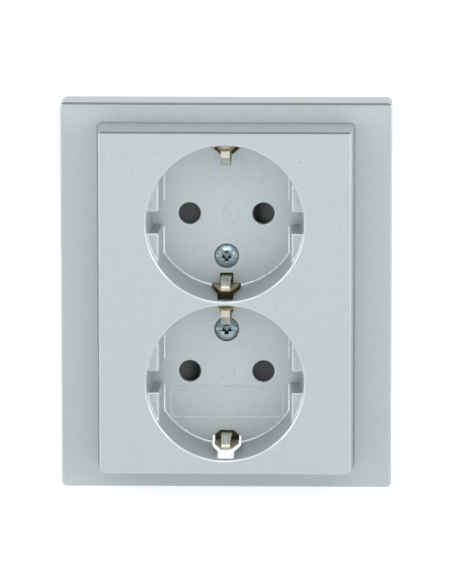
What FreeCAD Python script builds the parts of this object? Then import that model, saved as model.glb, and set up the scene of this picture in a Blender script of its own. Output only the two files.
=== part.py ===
import FreeCAD, Part
import math
import os

# Twin earthed socket outlet for a 60 mm wall box, in millimetres.
# The wall plane is Y = 0, the room is on the -Y side, +X is right and +Z is up.
# The origin is midway between the two box screws, on the wall plane.

# Plug face
PIN_SPACING = 19.0
PIN_HOLE_R = 2.8
PIN_HOLE_CHAMFER = 0.2
WELL_PITCH = 41.25
WELL_MOUTH_R = 20.1
WELL_DEPTH = 17.0
WELL_DRAFT_DEG = 3.0
WELL_WALL = 1.3
FLOOR_T = 2.0
MOUTH_EDGE = 0.3

# Keys on the left and right of each well
KEY_TOP_X = 16.85
KEY_FLOOR_X = 16.3
KEY_DROP = 2.0
KEY_SLOT_W = 5.7
KEY_EDGE = 0.4
KEY_CORNER_R = 0.5

# Earth slots and notches, measured from the cover's front and from the well's axis
NOTCH_START = 2.0
NOTCH_TAPER_START = 8.9
NOTCH_TAPER_END = 14.2
NOTCH_FRONT_W = 4.2
NOTCH_BACK_W = 7.4
NOTCH_INNER_R = 18.2
NOTCH_REACH = 0.6
SLOT_INNER_R = 15.5
SLOT_W = 3.3
SLOT_LEAD = 0.2

# Marks in the well floors
SCREW_OFFSET = 9.55
SCREW_SEAT_R = 3.22
SCREW_SEAT_DEPTH = 1.0
SCREW_HOLE_R = 1.75
UPPER_MARK_R = 3.2
UPPER_DIMPLE_R = 1.2
LOWER_MARK_R = 2.15
MARK_DEPTH = 0.2
PLATE_W = 28.9
PLATE_H = 8.2
PLATE_R = 1.4
PLATE_DEPTH = 0.35
PLATE_DROP = 7.97

# Cover
COVER_W = 64.3
COVER_H = 88.5
COVER_DRAFT_DEG = 2.7
COVER_WALL = 1.25
COVER_CORNER_R = 1.2
INNER_CORNER_R = 0.5
COVER_PANEL_T = 2.0
COVER_EDGE_R = 0.4
COVER_RIB_T = 1.0

# Outer frame
FRAME_W = 85.0
FRAME_H = 100.0
FRAME_D = 11.3
FRAME_WALL = 2.0
FRAME_PANEL_T = 1.8
FRAME_CORNER_R = 1.3
FRAME_EDGE_R = 0.5
FRAME_GAP = 0.15
LEDGE_DROP = 3.3
LEDGE_T = 1.2
COLLAR_T = 1.2
LEDGE_OVERLAP = 1.05
FRAME_RIB_T = 1.0
FRAME_RIB_PITCH = 22.0
FRAME_RIB_PROUD = 3.0

# Metal mounting ring
RING_T = 1.2
RING_SIDE_GAP = 5.0
RING_H = 71.0
RING_CORNER = 9.0
BOX_SCREW_SPACING = 60.0
BOX_SLOT_W = 3.6
BOX_SLOT_LENGTH = 6.0

# Plastic base
FLANGE_T = 2.9
FLANGE_W = 52.0
FLANGE_H = 62.0
FLANGE_CORNER_R = 3.0
BODY_R = 28.0
BODY_FLAT_X = 20.5
HOUSING_DEPTH = 14.4
REAR_DEPTH = 9.6
BASE_CLEAR = 0.3
CLAW_BAY_H = 14.0

# Rivets that hold the base to the ring
RIVET_X = 20.5
RIVET_Z = 27.5
RIVET_R = 1.25
RIVET_HEAD_R = 2.1
RIVET_HEAD_T = 0.8
RIVET_PLAY = 0.02

# Earth strip and its spring clips
EARTH_T = 0.8
EARTH_BACK = 0.6
EARTH_W = 8.0
EARTH_WIDE_REACH = 7.0
EARTH_LINK_INSET = 1.2
CLIP_W = 6.3
CLIP_STRIP_W = 2.7
CLIP_STRIP_FRONT_W = 2.1
CLIP_T = 0.5
CLIP_FRONT = 5.0
CLIP_WING_END = 14.5
CLIP_BACK_R = 17.85
CLIP_FOOT_R = 18.2
BOW_FOLD_R = 17.3
BOW_FRONT_R = 16.6
BOW_MID_R = 15.75
BOW_FOOT_R = 16.1
DEEP_BOW_FRONT_R = 15.9
DEEP_BOW_MID_R = 13.7
BOW_FRONT = 6.6
BOW_MID_START = 9.4
BOW_MID_END = 12.4

# Line and neutral contacts
PIN_GAP = 4.9
LEAF_T = 0.6
LEAF_W = 5.6
LEAF_START = 1.2
LEAF_FLARE = 0.5
LEAF_FLARE_L = 1.6
STRIP_T = 0.8
STRIP_W = 7.0
TAB_T = 0.8
TAB_L = 6.4
CHAMBER_CLEAR = 0.35

# Shutters
SHUTTER_TRAVEL = 5.8
SHUTTER_T = 2.1
SHUTTER_THIN = 1.2
SHUTTER_H = 6.6
SHUTTER_MARGIN = 0.25
SHUTTER_PLAY = 0.15
RAMP_EDGE_T = 0.5
RAMP_LEAD = 0.6
RAMP_SLOPE = 0.3
BRIDGE_H = 3.0
SPRING_L = 8.6
SPRING_WIRE = 0.3
SPRING_H = 4.4
SPRING_LEGS = 7
SPRING_DEPTH = 1.6

# Screwless terminals at the back
TERMINAL_PITCH = 15.0
ENTRY_R = 1.5
ENTRY_Z = 4.0
ENTRY_FUNNEL = 0.6
TERMINAL_BAY_W = 8.4
TERMINAL_BAY_LOW = -7.6
TERMINAL_BAY_HIGH = 12.4
REAR_WALL = 2.0
REAR_EDGE = 1.0
CLAMP_T = 0.5
CLAMP_GAP = 1.9
CLAMP_TIP = 2.6
CLAMP_FOLD = 2.2
BUTTON_Z = 9.6
BUTTON_SIZE = 3.4
BUTTON_PROUD = 1.0
BUTTON_TRAVEL = 1.5
BUTTON_PLAY = 0.15
BUTTON_FLANGE = 0.5
BUTTON_FLANGE_T = 1.0
BUTTON_NOSE = 1.35
BUTTON_EDGE = 0.3

# Spreading claws
CLAW_X = 24.2
CLAW_SCREW_R = 1.45
CLAW_SCREW_PROUD = 1.4
CLAW_HEAD_R = 2.6
CLAW_HEAD_T = 1.3
CLAW_HEAD_EDGE = 0.4
CLAW_HOLE_R = 1.65
CLAW_NUT_INSET = 2.4
CLAW_NUT_L = 3.0
CLAW_NUT_H = 8.0
CLAW_NUT_OUT = 2.2
CLAW_NUT_GAP = 0.3
CLAW_THREAD_PLAY = 0.05
CLAW_PIVOT_OUT = 3.2
CLAW_PIN_R = 0.9
CLAW_EYE_R = 1.6
CLAW_EYE_W = 1.4
CLAW_LEG_T = 1.0
CLAW_LEG_L = 9.6
CLAW_SHOULDER = 0.3
CLAW_TOOTH = 0.7
CLAW_TEETH = 4
CLAW_EYE_PLAY = 0.05

# Cover screws
SCREW_HEAD_R = 2.95
SCREW_HEAD_T = 0.8
SCREW_DOME_T = 1.0
SCREW_R = 1.45
SCREW_L = 8.0
SCREW_SLOT_W = 0.8
SCREW_SLOT_DEPTH = 0.8
SCREW_CROSS_L = 3.0
SCREW_CROSS_W = 1.15
SCREW_CROSS_DEPTH = 1.9
SCREW_CROSS_TAPER = 0.45

# How far a cutter runs past a face, how far joined pieces run into each other,
# and how near two faces must be to count as level
PAST = 1.0
LAP = 0.1
LEVEL = 0.01

# Places along Y that follow from the sizes
RING_FRONT = -RING_T
BASE_FRONT = RING_FRONT - FLANGE_T
FLOOR_FRONT = BASE_FRONT - FLOOR_T
FRONT = FLOOR_FRONT - WELL_DEPTH
LEDGE_FRONT = -FRAME_D + LEDGE_DROP
EARTH_REAR_Y = RING_FRONT - EARTH_BACK
EARTH_FRONT_Y = EARTH_REAR_Y - EARTH_T
POCKET_Y = BASE_FRONT + SHUTTER_T + 2 * SHUTTER_PLAY
STRIP_Y = HOUSING_DEPTH - STRIP_T
REAR_Y = HOUSING_DEPTH + REAR_DEPTH
CLAW_NUT_Y = HOUSING_DEPTH - CLAW_NUT_INSET
WELL_FLOOR_R = WELL_MOUTH_R - WELL_DEPTH * math.tan(math.radians(WELL_DRAFT_DEG))
WELL_CENTRES = (WELL_PITCH / 2, -WELL_PITCH / 2)
PIN_X = PIN_SPACING / 2
X_AXIS = FreeCAD.Vector(1, 0, 0)
Y_AXIS = FreeCAD.Vector(0, 1, 0)
Z_AXIS = FreeCAD.Vector(0, 0, 1)
ORIGIN = FreeCAD.Vector(0, 0, 0)


def block(x0, x1, y0, y1, z0, z1):
    """A box between two corners, given in any order."""
    low = FreeCAD.Vector(min(x0, x1), min(y0, y1), min(z0, z1))
    return Part.makeBox(abs(x1 - x0), abs(y1 - y0), abs(z1 - z0), low)


def rod(x, z, radius, y0, y1):
    """A round bar along Y."""
    return Part.makeCylinder(radius, y1 - y0, FreeCAD.Vector(x, y0, z), Y_AXIS)


def pin_z(x, y, radius, z0, z1):
    """A round bar along Z."""
    return Part.makeCylinder(radius, z1 - z0, FreeCAD.Vector(x, y, z0), Z_AXIS)


def cone(x, z, r0, y0, r1, y1):
    """A tapered round bar along Y."""
    return Part.makeCone(r0, r1, y1 - y0, FreeCAD.Vector(x, y0, z), Y_AXIS)


def prism(points, direction):
    """A flat outline of points, pushed along a direction."""
    wire = Part.makePolygon(points + points[:1])
    return Part.Face(wire).extrude(direction)


def rounded_outline(half_w, half_h, radius, y, z=0.0):
    """A rectangle with round corners, standing at depth y."""
    corners = ((1, 1), (-1, 1), (-1, -1), (1, -1))
    edges = []
    for index, (sx, sz) in enumerate(corners):
        cx = sx * (half_w - radius)
        cz = z + sz * (half_h - radius)
        start = math.radians(90 * index)
        points = []
        for step in range(3):
            angle = start + math.radians(45 * step)
            points.append(FreeCAD.Vector(cx + radius * math.cos(angle), y, cz + radius * math.sin(angle)))
        edges.append(Part.Arc(*points).toShape())
    outline = []
    for index, arc in enumerate(edges):
        following = edges[(index + 1) % 4]
        outline.append(arc)
        outline.append(Part.makeLine(arc.Vertexes[-1].Point, following.Vertexes[0].Point))
    return Part.Wire(outline)


def rounded_block(half_w, half_h, radius, y0, y1, z=0.0):
    """A bar along Y with a round-cornered section."""
    face = Part.Face(rounded_outline(half_w, half_h, radius, y0, z))
    return face.extrude(FreeCAD.Vector(0, y1 - y0, 0))


def fuse(shapes):
    """One solid from touching shapes."""
    return shapes[0].multiFuse(shapes[1:]).removeSplitter()


def cut(shape, tools):
    """A shape less its cutters."""
    return shape.cut(tools).removeSplitter()


def mirrored(shape):
    """The left-hand twin of a right-hand piece."""
    return shape.mirror(ORIGIN, X_AXIS)


def turned(shape):
    """The piece turned half a turn about the Y axis."""
    return shape.rotated(ORIGIN, Y_AXIS, 180)


def edges_near(shape, test):
    """The edges whose centre passes a test."""
    return [edge for edge in shape.Edges if test(edge, edge.BoundBox)]


def flat_at(box, y):
    """Whether an edge lies in the plane at depth y."""
    return abs(box.YMin - y) < LEVEL and abs(box.YMax - y) < LEVEL


def cover_half_size(y):
    """Half the cover's width and height at depth y."""
    grow = (y - FRONT) * math.tan(math.radians(COVER_DRAFT_DEG))
    return COVER_W / 2 + grow, COVER_H / 2 + grow


def cover_skin(y0, y1, inset):
    """The drafted outside of the cover between two depths, or its inside when inset."""
    front_w, front_h = [half - inset for half in cover_half_size(y0)]
    back_w, back_h = [half - inset for half in cover_half_size(y1)]
    skin = Part.makeWedge(-front_w, y0, -front_h, -back_h, -back_w, front_w, y1, front_h, back_h, back_w)
    corners = edges_near(skin, lambda edge, box: box.YMax - box.YMin > (y1 - y0) / 2)
    return skin.makeFillet(max(COVER_CORNER_R - inset, INNER_CORNER_R), corners)


def well_cup(z):
    """The outside of one well's cup, from the front panel to its floor."""
    back_r = WELL_FLOOR_R + WELL_WALL
    return cone(0, z, WELL_MOUTH_R + WELL_WALL, FRONT + COVER_PANEL_T / 2, back_r, FLOOR_FRONT)


def well_space(z):
    """The open space of one well, run past its mouth and its floor."""
    step = PAST * math.tan(math.radians(WELL_DRAFT_DEG))
    return cone(0, z, WELL_MOUTH_R + step, FRONT - PAST, WELL_FLOOR_R - step, FLOOR_FRONT + PAST)


def key_block(z):
    """The four keys of one well, with a slot between them on the pin row."""
    top = FRONT + KEY_DROP
    outer = WELL_MOUTH_R + WELL_WALL / 2
    profile = [
        FreeCAD.Vector(KEY_TOP_X + KEY_EDGE, top, 0),
        FreeCAD.Vector(KEY_TOP_X, top + KEY_EDGE, 0),
        FreeCAD.Vector(KEY_FLOOR_X, FLOOR_FRONT, 0),
        FreeCAD.Vector(outer, FLOOR_FRONT, 0),
        FreeCAD.Vector(outer, top, 0),
    ]
    height = WELL_MOUTH_R
    half = prism(profile, FreeCAD.Vector(0, 0, height - KEY_SLOT_W / 2))
    half.translate(FreeCAD.Vector(0, 0, KEY_SLOT_W / 2))
    corner = edges_near(half, lambda edge, box: box.ZMax < KEY_SLOT_W / 2 + LEVEL
                        and box.XMax < KEY_TOP_X + LEVEL)
    half = half.makeFillet(KEY_CORNER_R, corner)
    limit = cone(0, 0, WELL_MOUTH_R + WELL_WALL / 2, FRONT, WELL_FLOOR_R + WELL_WALL / 2, FLOOR_FRONT)
    half = half.common(limit)
    keys = []
    for right in (half, half.mirror(ORIGIN, Z_AXIS)):
        keys += [right, mirrored(right)]
    for key in keys:
        key.translate(FreeCAD.Vector(0, 0, z))
    return keys


def notch_cutter(z, side, slanted):
    """The earth slot in a well's floor and the notch in its wall, above (side 1) or below (side -1)."""
    front = FRONT + NOTCH_START
    back = BASE_FRONT + PAST
    reach = WELL_MOUTH_R + WELL_WALL + NOTCH_REACH
    half_front = NOTCH_FRONT_W / 2
    half_back = NOTCH_BACK_W / 2
    start = z + side * NOTCH_INNER_R
    outline = [
        FreeCAD.Vector(-half_front, front, start),
        FreeCAD.Vector(half_front, front, start),
        FreeCAD.Vector(half_front, FRONT + NOTCH_TAPER_START, start),
        FreeCAD.Vector(half_back, FRONT + NOTCH_TAPER_END, start),
        FreeCAD.Vector(half_back, back, start),
        FreeCAD.Vector(-half_back, back, start),
        FreeCAD.Vector(-half_back, FRONT + NOTCH_TAPER_END, start),
        FreeCAD.Vector(-half_front, FRONT + NOTCH_TAPER_START, start),
    ]
    notch = prism(outline, FreeCAD.Vector(0, 0, side * (reach - NOTCH_INNER_R)))
    half_slot = SLOT_W / 2
    inner = z + side * SLOT_INNER_R
    shoulder = z + side * (NOTCH_INNER_R - (half_back - half_slot) / 2) if slanted else start
    outer_half = half_back if slanted else half_slot
    floor_front = FLOOR_FRONT - SLOT_LEAD
    plan = [
        FreeCAD.Vector(-half_slot, floor_front, inner),
        FreeCAD.Vector(half_slot, floor_front, inner),
        FreeCAD.Vector(outer_half, floor_front, shoulder),
        FreeCAD.Vector(outer_half, floor_front, start + side * LAP),
        FreeCAD.Vector(-outer_half, floor_front, start + side * LAP),
        FreeCAD.Vector(-outer_half, floor_front, shoulder),
    ]
    slot = prism(plan, FreeCAD.Vector(0, back - floor_front, 0))
    return [notch, slot]


def pin_hole_cutters(z):
    """The two pin holes of one well, each with a small lead-in."""
    tools = []
    for x in (-PIN_X, PIN_X):
        tools.append(rod(x, z, PIN_HOLE_R, FLOOR_FRONT - PAST, BASE_FRONT + PAST))
        mouth = PIN_HOLE_R + PIN_HOLE_CHAMFER
        tools.append(cone(x, z, mouth, FLOOR_FRONT, PIN_HOLE_R, FLOOR_FRONT + PIN_HOLE_CHAMFER))
    return tools


def screw_seat_cutters(z):
    """The seat and hole of one cover screw."""
    seat = rod(0, z, SCREW_SEAT_R, FLOOR_FRONT - PAST, FLOOR_FRONT + SCREW_SEAT_DEPTH)
    hole = rod(0, z, SCREW_HOLE_R, FLOOR_FRONT, BASE_FRONT + PAST)
    return [seat, hole]


def upper_mark_cutters():
    """The round mark with its centre dimple between the upper well's pin holes."""
    z = WELL_CENTRES[0]
    shallow = FLOOR_FRONT + MARK_DEPTH
    return [rod(0, z, UPPER_MARK_R, FLOOR_FRONT - PAST, shallow),
            rod(0, z, UPPER_DIMPLE_R, FLOOR_FRONT - PAST, shallow + MARK_DEPTH)]


def lower_mark_cutters():
    """The smaller round mark and the shallow bare plate recess of the lower well."""
    z = WELL_CENTRES[1]
    mark = rod(0, z, LOWER_MARK_R, FLOOR_FRONT - PAST, FLOOR_FRONT + MARK_DEPTH)
    plate = rounded_block(PLATE_W / 2, PLATE_H / 2, PLATE_R, FLOOR_FRONT - PAST, FLOOR_FRONT + PLATE_DEPTH,
                          z - PLATE_DROP)
    return [mark, plate]


def well_floor(z, side, marks):
    """One well's floor: a disc with pin holes, earth slots, a screw seat and its marks."""
    radius = WELL_FLOOR_R + WELL_WALL
    disc = rod(0, z, radius, FLOOR_FRONT, BASE_FRONT)
    half_room = block(-radius, radius, FLOOR_FRONT, BASE_FRONT, 0, side * 2 * WELL_PITCH)
    tools = marks + pin_hole_cutters(z) + screw_seat_cutters(side * SCREW_OFFSET)
    tools += notch_cutter(z, side, True) + notch_cutter(z, -side, False)
    return cut(disc.common(half_room), tools)


def socket_cover():
    """The cover: a drafted shell with two deep wells moulded into it."""
    shell = cover_skin(FRONT, LEDGE_FRONT, 0)
    front_edges = edges_near(shell, lambda edge, box: flat_at(box, FRONT))
    shell = shell.makeFillet(COVER_EDGE_R, front_edges)
    shell = shell.cut(cover_skin(FRONT + COVER_PANEL_T, LEDGE_FRONT + PAST, COVER_WALL))
    half_w, half_h = cover_half_size(FRONT + COVER_PANEL_T)
    inner_x = half_w - COVER_WALL / 2
    ribs = []
    for sx in (-1, 1):
        for z in WELL_CENTRES:
            start = sx * WELL_MOUTH_R
            rib_back = LEDGE_FRONT - 2 * LEDGE_T
            ribs.append(block(start, sx * inner_x, FRONT + COVER_PANEL_T / 2, rib_back,
                              z - COVER_RIB_T / 2, z + COVER_RIB_T / 2))
    shell = fuse([shell] + ribs + [well_cup(z) for z in WELL_CENTRES])
    shell = cut(shell, [well_space(z) for z in WELL_CENTRES])
    mouths = edges_near(shell, lambda edge, box: flat_at(box, FRONT) and isinstance(edge.Curve, Part.Circle)
                        and edge.Curve.Radius > WELL_FLOOR_R)
    shell = shell.makeChamfer(MOUTH_EDGE, mouths)
    keys = []
    notches = []
    for side, z in zip((1, -1), WELL_CENTRES):
        keys += key_block(z)
        notches += notch_cutter(z, side, True) + notch_cutter(z, -side, False)
    return cut(fuse([shell] + keys), notches)


def cover_frame():
    """The outer frame: a shallow box with an opening for the cover and a ledge that the cover clamps."""
    outer = rounded_block(FRAME_W / 2, FRAME_H / 2, FRAME_CORNER_R, -FRAME_D, 0)
    front_edges = edges_near(outer, lambda edge, box: flat_at(box, -FRAME_D))
    outer = outer.makeFillet(FRAME_EDGE_R, front_edges)
    hollow = rounded_block(FRAME_W / 2 - FRAME_WALL, FRAME_H / 2 - FRAME_WALL, INNER_CORNER_R,
                           -FRAME_D + FRAME_PANEL_T, PAST)
    cover_x, cover_z = cover_half_size(LEDGE_FRONT)
    open_x = cover_x + FRAME_GAP
    open_z = cover_z + FRAME_GAP
    ledge_back = LEDGE_FRONT + LEDGE_T
    collar = rounded_block(open_x + COLLAR_T, open_z + COLLAR_T, COVER_CORNER_R + COLLAR_T,
                           -FRAME_D, ledge_back)
    ribs = []
    rib_front = -FRAME_D + FRAME_PANEL_T / 2
    rib_back = ledge_back + FRAME_RIB_PROUD
    for sx in (-1, 1):
        for step in (-1, 0, 1):
            z = step * FRAME_RIB_PITCH
            ribs.append(block(sx * (open_x + COLLAR_T / 2), sx * (FRAME_W - FRAME_WALL) / 2,
                              rib_front, rib_back, z - FRAME_RIB_T / 2, z + FRAME_RIB_T / 2))
    for sz in (-1, 1):
        for sx in (-1, 1):
            x = sx * FRAME_RIB_PITCH
            ribs.append(block(x - FRAME_RIB_T / 2, x + FRAME_RIB_T / 2, rib_front, rib_back,
                              sz * (open_z + COLLAR_T / 2), sz * (FRAME_H - FRAME_WALL) / 2))
    body = fuse([outer.cut(hollow), collar] + ribs)
    opening = rounded_block(open_x, open_z, COVER_CORNER_R, -FRAME_D - PAST, LEDGE_FRONT)
    window = rounded_block(cover_x - LEDGE_OVERLAP, cover_z - LEDGE_OVERLAP, INNER_CORNER_R, -FRAME_D, PAST)
    return cut(body, [opening, window])


def body_outline(grow, y0, y1):
    """The part of the base that enters the wall box: a drum with two flat sides."""
    drum = rod(0, 0, BODY_R + grow, y0, y1)
    half = BODY_FLAT_X + grow
    return drum.common(block(-half, half, y0, y1, -2 * BODY_R, 2 * BODY_R))


def mounting_ring():
    """The pressed steel ring behind the frame, with slots for box screws and holes for claws and rivets."""
    half_w = FRAME_W / 2 - FRAME_WALL - RING_SIDE_GAP
    plate = block(-half_w, half_w, RING_FRONT, 0, -RING_H / 2, RING_H / 2)
    corners = edges_near(plate, lambda edge, box: box.YMax - box.YMin > RING_T / 2)
    plate = plate.makeChamfer(RING_CORNER, corners)
    tools = [body_outline(BASE_CLEAR, RING_FRONT - PAST, PAST)]
    slot_half = BOX_SLOT_W / 2
    slot_run = BOX_SLOT_LENGTH / 2 - slot_half
    for sx in (-1, 1):
        x = sx * BOX_SCREW_SPACING / 2
        tools.append(block(x - slot_run, x + slot_run, RING_FRONT - PAST, PAST, -slot_half, slot_half))
        for end in (x - slot_run, x + slot_run):
            tools.append(rod(end, 0, slot_half, RING_FRONT - PAST, PAST))
        for sz in (-1, 1):
            tools.append(rod(sx * RIVET_X, sz * RIVET_Z, RIVET_R + RIVET_PLAY, RING_FRONT - PAST, PAST))
        tools.append(rod(sx * CLAW_X, 0, CLAW_HOLE_R, RING_FRONT - PAST, PAST))
    return cut(plate, tools)


def ring_rivets():
    """Four flush rivets, a group of separate solids."""
    rivets = []
    for sx in (-1, 1):
        for sz in (-1, 1):
            shank = rod(sx * RIVET_X, sz * RIVET_Z, RIVET_R, BASE_FRONT, 0)
            head = rod(sx * RIVET_X, sz * RIVET_Z, RIVET_HEAD_R, BASE_FRONT, BASE_FRONT + RIVET_HEAD_T)
            rivets.append(fuse([shank, head]))
    return Part.makeCompound(rivets)


def shutter_span():
    """The closed shutter's near and far edges over a pin hole, measured from the well's middle."""
    reach = PIN_HOLE_R + SHUTTER_MARGIN
    return PIN_X - reach, PIN_X + reach


def shutter_pocket(grow):
    """The room of the upper shutter and its spring."""
    near, far = shutter_span()
    z = WELL_CENTRES[0]
    left = -far - grow
    half = SHUTTER_H / 2 + grow
    right = far + SPRING_L + SHUTTER_MARGIN
    return block(left, right, BASE_FRONT - PAST, POCKET_Y, z - half, z + half)


def pin_chamber(x, z):
    """The room of one pin and its pair of contact leaves."""
    half_x = PIN_GAP / 2 + LEAF_T + LEAF_FLARE + CHAMBER_CLEAR / 2
    half_z = LEAF_W / 2 + CHAMBER_CLEAR
    leaves = block(x - half_x, x + half_x, LEAF_START - CHAMBER_CLEAR, HOUSING_DEPTH + PAST,
                   z - half_z, z + half_z)
    passage = rod(x, z, PIN_HOLE_R, BASE_FRONT, LEAF_START)
    return [leaves, passage]


def strip_outline(grow, y0, y1):
    """The line contact's back strip, with a wider middle under its terminal."""
    half_w = STRIP_W / 2 + grow
    end = WELL_PITCH / 2 + LEAF_W / 2 + grow
    long_part = block(-PIN_X - half_w, -PIN_X + half_w, y0, y1, -end, end)
    half_bay = TERMINAL_BAY_W / 2 - CHAMBER_CLEAR + grow
    middle = block(-TERMINAL_PITCH - half_bay, -PIN_X, y0, y1,
                   TERMINAL_BAY_LOW + CHAMBER_CLEAR - grow, -TERMINAL_BAY_LOW - CHAMBER_CLEAR + grow)
    return fuse([long_part, middle])


def earth_link_outline(grow, y0, y1):
    """The earth terminal's plate in the middle of the strip level."""
    half_bay = TERMINAL_BAY_W / 2 - CHAMBER_CLEAR - EARTH_LINK_INSET + grow
    return block(-half_bay, half_bay, y0, y1, TERMINAL_BAY_LOW + CHAMBER_CLEAR - grow,
                 -TERMINAL_BAY_LOW - CHAMBER_CLEAR + grow)


def base_housing():
    """The front half of the base: a flange on the ring and a drum full of contact chambers."""
    flange = rounded_block(FLANGE_W / 2, FLANGE_H / 2, FLANGE_CORNER_R, BASE_FRONT, RING_FRONT)
    bays = []
    for sx in (-1, 1):
        bays.append(block(sx * BODY_FLAT_X, sx * FLANGE_W, BASE_FRONT - PAST, RING_FRONT + PAST,
                          -CLAW_BAY_H / 2, CLAW_BAY_H / 2))
    body = fuse([flange.cut(bays), body_outline(0, RING_FRONT - PAST, HOUSING_DEPTH)])
    half_bar = EARTH_W / 2 + SHUTTER_PLAY
    pocket = shutter_pocket(SHUTTER_PLAY)
    tools = [pocket, turned(pocket),
             block(-half_bar, half_bar, BASE_FRONT - PAST, EARTH_REAR_Y, -FLANGE_H, FLANGE_H)]
    for x in (-PIN_X, PIN_X):
        for z in WELL_CENTRES:
            tools += pin_chamber(x, z)
    strip = strip_outline(SHUTTER_PLAY, STRIP_Y, HOUSING_DEPTH + PAST)
    tools += [strip, mirrored(strip), earth_link_outline(SHUTTER_PLAY, STRIP_Y, HOUSING_DEPTH + PAST)]
    post_half = EARTH_W / 4 + SHUTTER_PLAY
    tools.append(block(-post_half, post_half, EARTH_REAR_Y - PAST, HOUSING_DEPTH, -post_half, post_half))
    for z in (SCREW_OFFSET, -SCREW_OFFSET):
        tools.append(rod(0, z, SCREW_HOLE_R, BASE_FRONT, FLOOR_FRONT + SCREW_SEAT_DEPTH + SCREW_L + PAST))
    for sx in (-1, 1):
        for sz in (-1, 1):
            tools.append(rod(sx * RIVET_X, sz * RIVET_Z, RIVET_R + RIVET_PLAY, BASE_FRONT - PAST, PAST))
            tools.append(rod(sx * RIVET_X, sz * RIVET_Z, RIVET_HEAD_R + RIVET_PLAY,
                             BASE_FRONT - PAST, BASE_FRONT + RIVET_HEAD_T))
    return cut(body, tools)


def terminal_housing():
    """The rear half of the base, with three terminal bays, six wire entries and three button guides."""
    body = body_outline(0, HOUSING_DEPTH, REAR_Y)
    rim = edges_near(body, lambda edge, box: flat_at(box, REAR_Y))
    body = body.makeChamfer(REAR_EDGE, rim)
    tools = []
    inner = REAR_Y - REAR_WALL
    half_bay = TERMINAL_BAY_W / 2
    for column in (-1, 0, 1):
        x = column * TERMINAL_PITCH
        tools.append(block(x - half_bay, x + half_bay, HOUSING_DEPTH - PAST, inner,
                           TERMINAL_BAY_LOW, TERMINAL_BAY_HIGH))
        for z in (-ENTRY_Z, ENTRY_Z):
            tools.append(rod(x, z, ENTRY_R, inner - PAST, REAR_Y + PAST))
            tools.append(cone(x, z, ENTRY_R, REAR_Y - ENTRY_FUNNEL, ENTRY_R + ENTRY_FUNNEL, REAR_Y))
        half = BUTTON_SIZE / 2 + BUTTON_PLAY
        tools.append(block(x - half, x + half, inner - PAST, REAR_Y + PAST, BUTTON_Z - half, BUTTON_Z + half))
    return cut(body, tools)


def clip_blade(side, centre, bow_front_r=BOW_FRONT_R, bow_mid_r=BOW_MID_R):
    """One spring clip of a well: a bowed strip in front of a winged back plate, on a common foot."""
    foot_y = EARTH_FRONT_Y - CLIP_T

    def at(x, radius, depth):
        return FreeCAD.Vector(x, FRONT + depth, centre + side * radius)

    foot_depth = foot_y - FRONT
    half_strip = CLIP_STRIP_W / 2
    half_tip = CLIP_STRIP_FRONT_W / 2
    inner = [(BOW_FOLD_R, CLIP_FRONT), (bow_front_r, BOW_FRONT), (bow_mid_r, BOW_MID_START),
             (bow_mid_r, BOW_MID_END), (BOW_FOOT_R, WELL_DEPTH), (BOW_FOOT_R, foot_depth)]
    outer = [(radius + CLIP_T, depth) for radius, depth in inner]
    outer[0] = (BOW_FOLD_R + 2 * CLIP_T, CLIP_FRONT)
    outline = [at(-half_strip, radius, depth) for radius, depth in inner + outer[::-1]]
    inmost = min(bow_mid_r, BOW_FOOT_R) - PAST
    taper = [at(-half_tip, inmost, CLIP_FRONT), at(half_tip, inmost, CLIP_FRONT),
             at(half_strip, inmost, BOW_MID_END), at(half_strip, inmost, foot_depth),
             at(-half_strip, inmost, foot_depth), at(-half_strip, inmost, BOW_MID_END)]
    room = prism(taper, FreeCAD.Vector(0, 0, side * (CLIP_FOOT_R + CLIP_T - inmost)))
    strip = prism(outline, FreeCAD.Vector(CLIP_STRIP_W, 0, 0)).common(room)
    half = CLIP_W / 2
    plate = [at(-half_tip, CLIP_BACK_R, CLIP_FRONT), at(half_tip, CLIP_BACK_R, CLIP_FRONT),
             at(half, wing_r(CLIP_WING_END), CLIP_WING_END), at(half, wing_r(foot_depth), foot_depth),
             at(-half, wing_r(foot_depth), foot_depth), at(-half, wing_r(CLIP_WING_END), CLIP_WING_END)]
    wings = prism(plate, FreeCAD.Vector(0, 0, side * CLIP_T))
    foot = block(-half, half, foot_y, EARTH_FRONT_Y, centre + side * BOW_FOOT_R,
                 centre + side * (wing_r(foot_depth) + CLIP_T))
    return [strip, wings, foot]


def wing_r(depth):
    """How far out the clip's back plate lies at a depth below the cover's front."""
    share = (depth - CLIP_FRONT) / (CLIP_WING_END - CLIP_FRONT)
    return CLIP_BACK_R + share * (CLIP_FOOT_R - CLIP_BACK_R)


def earth_clip_top():
    """The clip at the top of the upper well, bowed deep into it."""
    return fuse(clip_blade(1, WELL_CENTRES[0], DEEP_BOW_FRONT_R, DEEP_BOW_MID_R))


def earth_clip_bottom():
    """The clip at the bottom of the lower well."""
    return fuse(clip_blade(-1, WELL_CENTRES[1]))


def earth_clip_centre():
    """The back-to-back pair between the wells, bent from one strip; the lower well's one is bowed deep."""
    upper, lower = WELL_CENTRES
    inner = upper - BOW_FOOT_R
    bridge = block(-CLIP_W / 2, CLIP_W / 2, EARTH_FRONT_Y - CLIP_T, EARTH_FRONT_Y, -inner, inner)
    deep = clip_blade(1, lower, DEEP_BOW_FRONT_R, DEEP_BOW_MID_R)
    return fuse([bridge] + clip_blade(-1, upper) + deep)


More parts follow.
